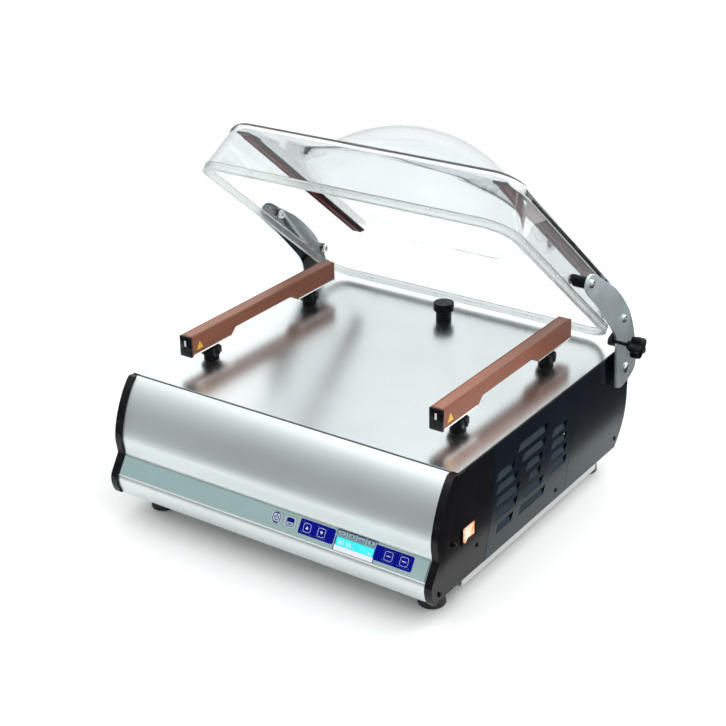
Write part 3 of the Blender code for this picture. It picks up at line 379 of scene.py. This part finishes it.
def lid_skin(shrink):
    top = LID_TOP - shrink
    wall_end = top - SHOULDER
    lean_x, lean_y = SIDE_DRAFT * (wall_end - RIM), END_DRAFT * (wall_end - RIM)
    rings = []
    for t in (0.0, 0.04, 0.5, 0.96, 1.0):
        rings.append(lid_ring(RIM + t * (wall_end - RIM), shrink + t * lean_x, shrink + t * lean_y,
                              LID_CORNER - shrink - 4 * t))
    for k in range(1, 11):
        turn = math.radians(9 * k)
        rise, inward = SHOULDER * math.sin(turn), TURN_IN * (1 - math.cos(turn))
        rings.append(lid_ring(wall_end + rise, shrink + lean_x + inward,
                              shrink + lean_y + TURN_IN_ENDS * inward,
                              LID_CORNER - shrink - 4 - 0.5 * inward))
    foot = DOME_FOOT - 0.5 * shrink
    sphere = DOME_RADIUS - shrink
    flat_half = LID_HALF_Y - shrink - lean_y - FLAT_MARGIN
    start_height = math.sqrt(sphere ** 2 - DOME_START ** 2)
    start, end = Vector((foot, top)), Vector((DOME_START, DOME_CENTRE + start_height))
    pull_a = Vector((foot - 12, top))
    slope = DOME_START / start_height
    pull_b = end + Vector((10.0, -10.0 * slope))
    for k in range(9):
        t = k / 8
        p = (1 - t) ** 3 * start + 3 * t * (1 - t) ** 2 * pull_a + 3 * t * t * (1 - t) * pull_b + t ** 3 * end
        rings.append(dome_ring(p.x, p.y, flat_half))
    for k in range(1, 19):
        reach = math.asin(DOME_START / sphere) * (1 - k / 18.6)
        rings.append(dome_ring(sphere * math.sin(reach), DOME_CENTRE + sphere * math.cos(reach)))
    return rings


def lid():
    bm = bmesh.new()
    join_rings(bm, list(reversed(lid_skin(0.0))) + lid_skin(LID_WALL))
    shell = make("lid_clear_dome", bm, ACRYLIC, TO_LID, "lid", 40.0)
    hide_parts("lid_dome")

    bm = bmesh.new()
    section = ((-0.4, 1.2), (0.6, 0.5), (7.6, 0.5), (8.4, 1.2), (8.4, 10.4), (7.6, 11.0),
               (0.6, 11.0), (-0.4, 10.2), (-0.4, 7.4), (0.5, 6.8), (0.5, 5.6), (-0.4, 5.0))
    rings = [lid_ring(z, inset, inset, LID_CORNER - inset) for inset, z in section]
    join_rings(bm, rings, loop=True)
    seal = make("lid_seal_band", bm, GASKET, TO_LID, "lid", 30.0)
    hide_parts("lid_gasket")

    for side, sign in (("left", -1), ("right", 1)):
        x = sign * BAR_X
        bm = bmesh.new()
        block(bm, (x - 11, 44, 69.2), (x + 11, 404, 73.0))
        holder = make(f"counter_holder_{side}", bm, GLOSS, TO_LID, "lid", 35, 0.5)
        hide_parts(f"counter_bar_{side}")
        bm = bmesh.new()
        outline = [(-9.2, 69.3), (-9.2, 67.0), (-8.0, 66.0), (-3.0, 65.8), (-2.4, 66.3),
                   (2.4, 66.3), (3.0, 65.8), (8.0, 66.0), (9.2, 67.0), (9.2, 69.3)]
        rings = [[Vector((x + a, y, b)) for a, b in outline] for y in (47, 48, 400, 401)]
        join_rings(bm, rings)
        make(f"counter_strip_{side}", bm, RED, TO_LID, "lid", 50)
        bm = bmesh.new()
        block(bm, (x - 11, 40.2, 66.4), (x + 11, 46.6, 72.6))
        make(f"counter_stop_{side}", bm, GLOSS, TO_LID, "lid", 35, 0.8)


# ---------------------------------------------------------------- arms, bolts, lock

FRONT_BOLT = (PIVOT.y - 209.0, PIVOT.z + 54.0)
REAR_BOLT = (PIVOT.y - 66.0, PIVOT.z + 54.5)
ARM_FACE = 283.0   # outer face of the arms


def bolt(bm, x, y, z, sign, radius, height):
    """Round head with a hex socket, looking outward along X."""
    axis = "X" if sign > 0 else "-X"
    outline = ((0.01, 0), (1, 0), (1, 0.55), (0.86, 0.9), (0.62, 1), (0.46, 1), (0.46, 0.35), (0.01, 0.3))
    profile = [(radius * r if r > 0.01 else r, height * h) for r, h in outline]
    turned(bm, profile, (x, y, z), axis, 24)


def arms():
    for side, sign in (("left", -1), ("right", 1)):
        dress(f"hinge_arm_{side}", ARM_STEEL, 0.5, 3)
        for where, (y, z) in (("front", FRONT_BOLT), ("rear", REAR_BOLT)):
            dress(f"lid_spacer_{where}_{side}", KNOB_BLACK, 0.4)
            bm = bmesh.new()
            bolt(bm, sign * ARM_FACE, y, z, sign, 6.2, 3.0)
            make(f"arm_bolt_{where}_{side}", bm, CHROME, TO_LID, "lid")
            bm = bmesh.new()
            wall = LID_HALF_X - SIDE_DRAFT * (z - RIM)
            bolt(bm, sign * (wall - LID_WALL - 0.6), y, z, -sign, 7.0, 3.4)
            make(f"lid_nut_{where}_{side}", bm, CHROME, TO_LID, "lid")
        dress(f"lid_buffer_{side}", RUBBER, 0.8, 3)
    dress("hinge_shaft", CHROME, 0.4)
    dress("lock_knob", KNOB_BLACK, 0.5)
    dress("lid_spring", CHROME, 0)


# ---------------------------------------------------------------- plate, seal bars, port


def seal_bars():
    for side, sign in (("left", -1), ("right", 1)):
        x = sign * BAR_X
        body = f"seal_bar_{side}"
        dress(f"seal_bar_{side}", PTFE, 0.8, 3)
        dress(f"bar_end_cap_{side}", GLOSS, 0.4)
        bm = bmesh.new()
        block(bm, (x - 7.2, 55.0, 52.9), (x + 7.2, 397.0, 53.25))
        # the seal face on the bar's top carries the painted lighter top colour
        make(f"seal_face_{side}", bm, PTFE_LIT_TOP, body=body, round_edges=0.1)
        bm = bmesh.new()
        block(bm, (x - 1.7, 48.75, 38.0), (x + 1.7, 49.3, 47.0))
        make(f"end_cap_slot_{side}", bm, SLOT_WHITE, body=body, round_edges=0.1)
        bm = bmesh.new()
        corners = [(61.5, 30.5), (75.5, 30.5), (68.5, 42.5)]
        join_rings(bm, [[Vector((x + out, y, z)) for y, z in corners] for out in (10.15, 10.4)])
        make(f"bar_label_{side}", bm, YELLOW, body=body)
        bm = bmesh.new()
        block(bm, (x + 9.9, 54.0, 23.2), (x + 10.5, 137.0, 25.2))
        block(bm, (x + 9.9, 304.0, 23.2), (x + 10.5, 397.0, 25.2))
        make(f"bar_foot_strip_{side}", bm, SLOT_WHITE, body=body)
        dress(f"lift_yoke_{side}", KNOB_BLACK, 0.3)
        dress(f"lift_cylinder_{side}", ZINC, 0.4)
        for where in ("front", "rear"):
            dress(f"post_knob_{where}_{side}", KNOB_BLACK, 0.4)


def port():
    dress("suction_port", CHROME, 0.2)
    dress("suction_cap", KNOB_BLACK, 0.6, 3)


# ---------------------------------------------------------------- shell

FINISHES = (
    (STEEL, 0.8, ("top_plate",)),
    (ALU, 0.7, ("front_profile",)),
    (TRAY, 0.5, ("base_tray",)),
    (GLOSS, 1.4, ("end_cap_left", "end_cap_right")),
    (SIDE_BLACK, 0.5, ("vent_panel_left", "vent_panel_right")),
    (SIDE_BLACK, 0.5, ("side_panel_rear_left", "side_panel_rear_right")),
    (SIDE_BLACK, 0.3, ("rear_cover",)),
    (RUBBER, 0.4, ("foot_front_left", "foot_front_right", "foot_rear_left", "foot_rear_right")),
    (FILM, 0.1, ("keypad_overlay",)),
    (BOARD, 0.1, ("control_board",)),
    (GLOSS, 0.4, ("switch_bezel", "power_inlet")),
    (LAMP, 0.4, ("switch_rocker",)),
    (CAST, 0.5, ("vacuum_pump", "sealing_transformer")),
    (MOTOR, 0.5, ("pump_motor",)),
    (KNOB_BLACK, 0.3, ("fan_rotor",)),
    (BRASS, 0.5, ("valve_block",)),
    (HOSE, 0.0, ("vacuum_hose",)),
    (KEY_GREY, 0.3, ("power_key", "light_key")),
    (KEY, 0.3, ("up_key", "down_key", "set_key", "start_key")),
)
for finish, edge, cad_nodes in FINISHES:
    for cad_node in cad_nodes:
        dress(cad_node, finish, edge, 3 if edge > 0.7 else 2)

lid()
arms()
seal_bars()
port()

# ---------------------------------------------------------------- keypad print

FACE_TOP = Vector((0, -38.6, 96.5 - PLATE_TABLE_HEIGHT))   # upper and lower edge of the keypad face
FACE_LOW = Vector((0, -54.8, 71.0 - PLATE_TABLE_HEIGHT))
KEY_DOWN = 13.2              # middle of the keys, down the face from its upper edge
FILM_TOP = 1.2               # how far the film's face stands out
KEY_TOP = 1.72               # how far the marks on the keys stand out
KEY_X = {"power_key": 19.0, "light_key": 42.0, "up_key": 70.0, "down_key": 93.5, "set_key": 200.0,
         "start_key": 223.8}
DOWN = (FACE_LOW - FACE_TOP).normalized()
OUT = Vector((0, DOWN.z, -DOWN.y))


def on_face(x, down, out):
    return Vector((x, 0, 0)) + FACE_TOP + DOWN * down + OUT * out


def printed(name, shapes, material, out, thick=0.12, body="machine"):
    """Flat printed shapes on the keypad face: each one an outline of (x, down) points."""
    bm = bmesh.new()
    for outline in shapes:
        join_rings(bm, [[on_face(x, w, level) for x, w in outline] for level in (out, out + thick)])
    return make(name, bm, material, body=body)


def rect(x, w, half_x, half_w, corner=0.0, steps=5):
    if corner <= 0:
        return [(x + sx * half_x, w + sw * half_w) for sx, sw in ((-1, -1), (1, -1), (1, 1), (-1, 1))]
    points = []
    for sx, sw, start in ((1, 1, 0), (-1, 1, 90), (-1, -1, 180), (1, -1, 270)):
        for k in range(steps):
            t = math.radians(start + 90 * k / (steps - 1))
            points.append((x + sx * (half_x - corner) + corner * math.cos(t),
                           w + sw * (half_w - corner) + corner * math.sin(t)))
    return points


def frame_shapes(x, w, half_x, half_w, line):
    """Four thin bars around a rectangle."""
    half = line / 2
    return [rect(x, w - half_w + half, half_x, half), rect(x, w + half_w - half, half_x, half),
            rect(x - half_x + half, w, half, half_w - line), rect(x + half_x - half, w, half, half_w - line)]


def ring_shapes(x, w, half_x, half_w, corner, line):
    """An outline of a rounded rectangle, as short flat pieces."""
    outer = rect(x, w, half_x, half_w, corner)
    inner = rect(x, w, half_x - line, half_w - line, max(corner - line, 0.2))
    count = len(outer)
    return [[outer[k], outer[(k + 1) % count], inner[(k + 1) % count], inner[k]] for k in range(count)]


def arc_shapes(x, w, radius, line, start, stop, steps=18):
    shapes = []
    for k in range(steps):
        a, b = (math.radians(start + (stop - start) * j / steps) for j in (k, k + 1))
        shapes.append([(x + r * math.cos(t), w + r * math.sin(t))
                       for r, t in ((radius, a), (radius, b), (radius - line, b), (radius - line, a))])
    return shapes


SEGMENTS = {0: "abcdef", 5: "afgcd", 8: "abcdefg", 9: "abcdfg"}   # the figures that the display shows


def digit(value, x, w, wide, tall, line):
    """A seven-bar figure."""
    across, half, quarter = wide / 2, line / 2, tall / 4
    bars = {"a": (x, w - tall / 2, across, half), "g": (x, w, across, half),
            "d": (x, w + tall / 2, across, half),
            "f": (x - across, w - quarter, half, quarter), "b": (x + across, w - quarter, half, quarter),
            "e": (x - across, w + quarter, half, quarter), "c": (x + across, w + quarter, half, quarter)}
    return [rect(*bars[s]) for s in SEGMENTS[value]]


def windowed(left, right, top, bottom, keys):
    """A printed field with an opening round each key, as flat strips."""
    half_x, half_w, fillet = 9.25, 7.75, 1.4
    window_top, window_low = KEY_DOWN - half_w, KEY_DOWN + half_w
    shapes = []
    for edge, inner in ((top, window_top), (bottom, window_low)):
        corner = inner - edge
        turns = [math.radians(15 * k) for k in range(7)]
        reach = abs(corner)
        arc = [(left + reach * (1 - math.sin(t)), edge + corner * (1 - math.cos(t))) for t in turns]
        other = [(left + right - x, w) for x, w in reversed(arc)]
        shapes.append([(left, inner), *reversed(arc), *reversed(other), (right, inner)])
    stops = [left] + [KEY_X[key] + sign * half_x for key in keys for sign in (-1, 1)] + [right]
    for start, stop in zip(stops[::2], stops[1::2]):
        shapes.append([(start, window_top), (stop, window_top), (stop, window_low), (start, window_low)])
    for key in keys:
        for sx, sw in ((1, 1), (1, -1), (-1, 1), (-1, -1)):
            a, b = KEY_X[key] + sx * half_x, KEY_DOWN + sw * half_w
            shapes.append([(a, b), (a - sx * fillet, b), (a, b - sw * fillet)])
    return shapes


def keypad():
    bm = bmesh.new()
    # a thin near-white bead along the keypad's lower edge draws the painted highlight line there
    bead_half, bead_down, bead_out, radius = 267.0, 30.35, 0.55, 0.75
    along = [-bead_half + 2 * bead_half * k / 12 for k in range(13)]
    sides = [math.radians(45 * k) for k in range(8)]
    section = [(bead_down + radius * math.cos(t), bead_out + radius * math.sin(t)) for t in sides]
    join_rings(bm, [[on_face(x, down, out) for down, out in section] for x in along])
    make("keypad_lower_highlight_bead", bm, HIGHLIGHT_BEAD, smooth=60)
    printed("blue_field_left", windowed(57.0, 114.0, 2.8, 23.2, ("up_key", "down_key")), BLUE, FILM_TOP)
    printed("blue_field_right", windowed(178.0, 237.0, 3.2, 23.6, ("set_key", "start_key")), BLUE, FILM_TOP)
    x = KEY_X["power_key"]
    printed("power_mark", arc_shapes(x, 13.6, 3.5, 1.0, -60, 240) + [rect(x, 11.2, 0.5, 2.2)]
            + ring_shapes(x, KEY_DOWN, 6.4, 6.4, 3.2, 1.0) + [rect(x, 6.3, 2.2, 0.5), rect(x, 20.1, 3.0, 0.5)],
            INK_BLUE, KEY_TOP, body="power_key")
    x = KEY_X["light_key"]
    printed("light_mark", [rect(x, 10.9, 5.8, 2.6, 1.8)] + ring_shapes(x, KEY_DOWN, 6.4, 5.8, 2.8, 1.0)
            + [rect(x, 15.8, 3.0, 0.7)], INK_BLUE, KEY_TOP, body="light_key")
    for key in ("up_key", "down_key"):
        x = KEY_X[key]
        flip = 1 if key == "down_key" else -1
        base = KEY_DOWN - 1.7 * flip
        shape = [(x - 2.3, base), (x + 2.3, base), (x, KEY_DOWN + 2.0 * flip)]
        ring = ring_shapes(x, KEY_DOWN, 6.0, 6.0, 2.6, 0.4)
        printed(key + "_mark", [shape] + ring, INK_WHITE, KEY_TOP, body=key)
    for key in ("set_key", "start_key"):
        x = KEY_X[key]
        words = [rect(x - 2.4 + 1.6 * k, KEY_DOWN, 0.5, 0.6) for k in range(4)]
        ring = ring_shapes(x, KEY_DOWN, 6.2, 6.0, 2.8, 0.35)
        printed(key + "_mark", words + ring, INK_WHITE, KEY_TOP, body=key)
    printed("display_glass", [rect(147.6, 15.8, 29.6, 5.6)], LCD, 1.21, 0.1)
    figures = []
    for k, value in enumerate((8, 0)):
        figures += digit(value, 123.5 + 4.4 * k, 16.8, 2.4, 4.6, 0.7)
    for k, value in enumerate((9, 5)):
        figures += digit(value, 136.0 + 4.4 * k, 16.8, 2.4, 4.6, 0.7)
    figures += [rect(146.0, 19.0, 0.5, 0.5), rect(171.5, 19.0, 2.4, 0.4), rect(171.5, 17.4, 1.2, 0.4)]
    printed("display_figures", figures, INK_WHITE, 1.33, 0.05)
    icons = [rect(147.6, 0.55, 31.0, 0.35)]
    for x in (124.0, 139.5, 154.7, 170.0):
        icons += frame_shapes(x, 4.6, 6.2, 3.5, 0.8)
    icons += [rect(124.0, 4.6, 2.8, 0.5), rect(139.5, 5.3, 2.6, 0.5), rect(139.5, 3.7, 1.4, 0.5),
              rect(154.7, 5.5, 3.2, 0.5), rect(170.0, 4.5, 1.0, 1.6)]
    printed("indicator_icons", icons, INK_MID, FILM_TOP)
    printed("display_border", [rect(116.3, 15.0, 0.9, 5.8)], INK_DARK, FILM_TOP)
    corners = [(x, w) for w in (4.0, 25.0) for x in (116.0, 179.2)]
    printed("window_lines", [rect(x, w, 0.5, 3.4) for x, w in corners], INK_BLUE, FILM_TOP)
    printed("window_white", [rect(147.6, 24.8, 30.6, 3.2)], INK_WHITE, 1.21, 0.05)


keypad()

# ---------------------------------------------------------------- louvres

SIDE_OUT = 271.5
SLOT_TALL, SLOT_LEAN = 12.0, 6.5


def louvre_rows():
    rows = [(102.0, rear, -49.0 - 19.5 * k) for k, rear in enumerate((152.0, 161.0, 167.0, 161.0, 150.0))]
    middle = ((158.0, 242.0), (170.0, 238.0), (181.0, 229.0), (187.0, 226.0), (177.0, 233.0), (163.0, 240.0))
    rows += [(front, rear, -31.0 - 19.5 * k) for k, (front, rear) in enumerate(middle)]
    rows += [(253.0 - 1.5 * k, 299.0 + k, -51.0 - 18.5 * k) for k in range(4)]
    return rows


def louvres():
    """Slanting fins pressed behind the slots of both vent panels: they lean in towards their tops."""
    for side, sign in (("left", -1), ("right", 1)):
        bm = bmesh.new()
        for front, rear, z in louvre_rows():
            rings = []
            for across, height, start, stop in ((0.5, -SLOT_TALL + 0.3, front, rear - SLOT_LEAN),
                                                (3.2, -SLOT_TALL * 0.55, front + 3.0, rear - 3.4),
                                                (8.0, 1.6, front + SLOT_LEAN, rear)):
                x = sign * (SIDE_OUT - across)
                rings.append([Vector((x, start, z + height)), Vector((x, stop, z + height)),
                              Vector((x - sign * 1.2, stop, z + height - 0.6)),
                              Vector((x - sign * 1.2, start, z + height - 0.6))])
            join_rings(bm, rings)
        make(f"louvre_fins_{side}", bm, FIN, smooth=30)


louvres()


def screws():
    for side, sign in (("left", -1), ("right", 1)):
        for index, (y, z, face) in enumerate(((-5, -101, 273.0), (55, -132, 271.5), (-38, -158, 273.0),
                                              (272, -153, 271.5), (457, -152, 271.5))):
            bm = bmesh.new()
            bolt(bm, sign * (face - 0.2), y, z, sign, 3.6, 1.6)
            make(f"side_screw_{side}_{index}", bm, GLOSS)


screws()

# ---------------------------------------------------------------- stage, lights, camera


def stage():
    bm = bmesh.new()
    bmesh.ops.create_grid(bm, x_segments=1, y_segments=1, size=30.0)
    mesh = bpy.data.meshes.new("floor")
    bm.to_mesh(mesh)
    bm.free()
    paper, _, _, shader = tree("studio_paper")
    shader.inputs["Base Color"].default_value = (0.97, 0.97, 0.97, 1)
    shader.inputs["Roughness"].default_value = 0.6
    shader.inputs["Specular IOR Level"].default_value = 0.2
    mesh.materials.append(paper)
    floor = bpy.data.objects.new("floor", mesh)
    bpy.context.scene.collection.objects.link(floor)


def softbox(name, place, aim, wide, tall, power):
    light = bpy.data.lights.new(name, "AREA")
    light.shape = "RECTANGLE"
    light.size, light.size_y = wide, tall
    light.energy = power
    lamp = bpy.data.objects.new(name, light)
    bpy.context.scene.collection.objects.link(lamp)
    lamp.location = place
    lamp.rotation_euler = (Vector(aim) - Vector(place)).to_track_quat("-Z", "Y").to_euler()


def dark_card(name, place, aim, wide, tall, shade):
    """A dull card beside the set. It only shows as a reflection."""
    bm = bmesh.new()
    bmesh.ops.create_grid(bm, x_segments=1, y_segments=1, size=0.5)
    mesh = bpy.data.meshes.new(name)
    bm.to_mesh(mesh)
    bm.free()
    felt, _, _, shader = tree(name + "_felt")
    shader.inputs["Base Color"].default_value = (shade, shade, shade, 1)
    shader.inputs["Roughness"].default_value = 0.9
    mesh.materials.append(felt)
    card = bpy.data.objects.new(name, mesh)
    bpy.context.scene.collection.objects.link(card)
    card.location = place
    card.rotation_euler = (Vector(aim) - Vector(place)).to_track_quat("Z", "Y").to_euler()
    card.scale = (wide, tall, 1)
    card.visible_camera = False
    card.visible_shadow = False
    card.visible_diffuse = False
    card.visible_transmission = False


def studio():
    world = bpy.data.worlds.new("studio")
    bpy.context.scene.world = world
    world.use_nodes = True
    nodes, links = world.node_tree.nodes, world.node_tree.links
    where = nodes.new("ShaderNodeTexCoord")
    split = nodes.new("ShaderNodeSeparateXYZ")
    links.new(where.outputs["Generated"], split.inputs["Vector"])

    def scaled(source, factor, add):
        made = nodes.new("ShaderNodeMath")
        made.operation = "MULTIPLY_ADD"
        made.inputs[1].default_value = factor
        links.new(source, made.inputs[0])
        if isinstance(add, float):
            made.inputs[2].default_value = add
        else:
            links.new(add, made.inputs[2])
        return made.outputs[0]

    level = scaled(split.outputs["Y"], 0.50, scaled(split.outputs["Z"], 1.35, 0.42))
    clamp = nodes.new("ShaderNodeClamp")
    clamp.inputs["Min"].default_value = 0.22
    clamp.inputs["Max"].default_value = 1.5
    links.new(level, clamp.inputs["Value"])
    links.new(clamp.outputs[0], nodes["Background"].inputs["Strength"])
    nodes["Background"].inputs["Color"].default_value = (0.985, 1.0, 1.0, 1.0)
    softbox("key_box", (1.5, 1.7, 2.3), (0, 0, 0.2), 1.6, 1.6, 30)
    softbox("fill_box", (-0.6, -2.2, 2.6), (0, 0, 0.15), 2.2, 1.2, 8)
    dark_card("front_card", (0.0, -1.75, 0.004), (0.0, -1.75, 3.0), 4.0, 2.3, 0.10)
    dark_card("side_card", (0.66, 0.6, 0.006), (0.66, 0.6, 3.0), 0.68, 3.4, 0.005)
    dark_card("rear_card", (-0.02, 0.72, 0.005), (-0.02, 0.72, 3.0), 0.62, 0.70, 0.02)


def camera():
    turn, tilt, roll = math.radians(35.082), math.radians(24.994), math.radians(-1.022)
    ahead = Vector((-math.sin(turn) * math.cos(tilt), math.cos(turn) * math.cos(tilt), -math.sin(tilt)))
    right = Vector((math.cos(turn), math.sin(turn), 0.0))
    up = right.cross(ahead)
    right, up = right * math.cos(roll) + up * math.sin(roll), up * math.cos(roll) - right * math.sin(roll)
    data = bpy.data.cameras.new("camera")
    data.sensor_width = 36.0
    data.lens = 78.164
    eye = bpy.data.objects.new("camera", data)
    bpy.context.scene.collection.objects.link(eye)
    place = TO_ROW @ Vector((1170.41, -1478.22, 959.98))
    rotation = Matrix((right, up, -ahead)).transposed().to_4x4()
    eye.matrix_world = Matrix.Translation(place) @ rotation
    bpy.context.scene.camera = eye


stage()
studio()
camera()
bpy.context.scene.view_settings.view_transform = "Standard"
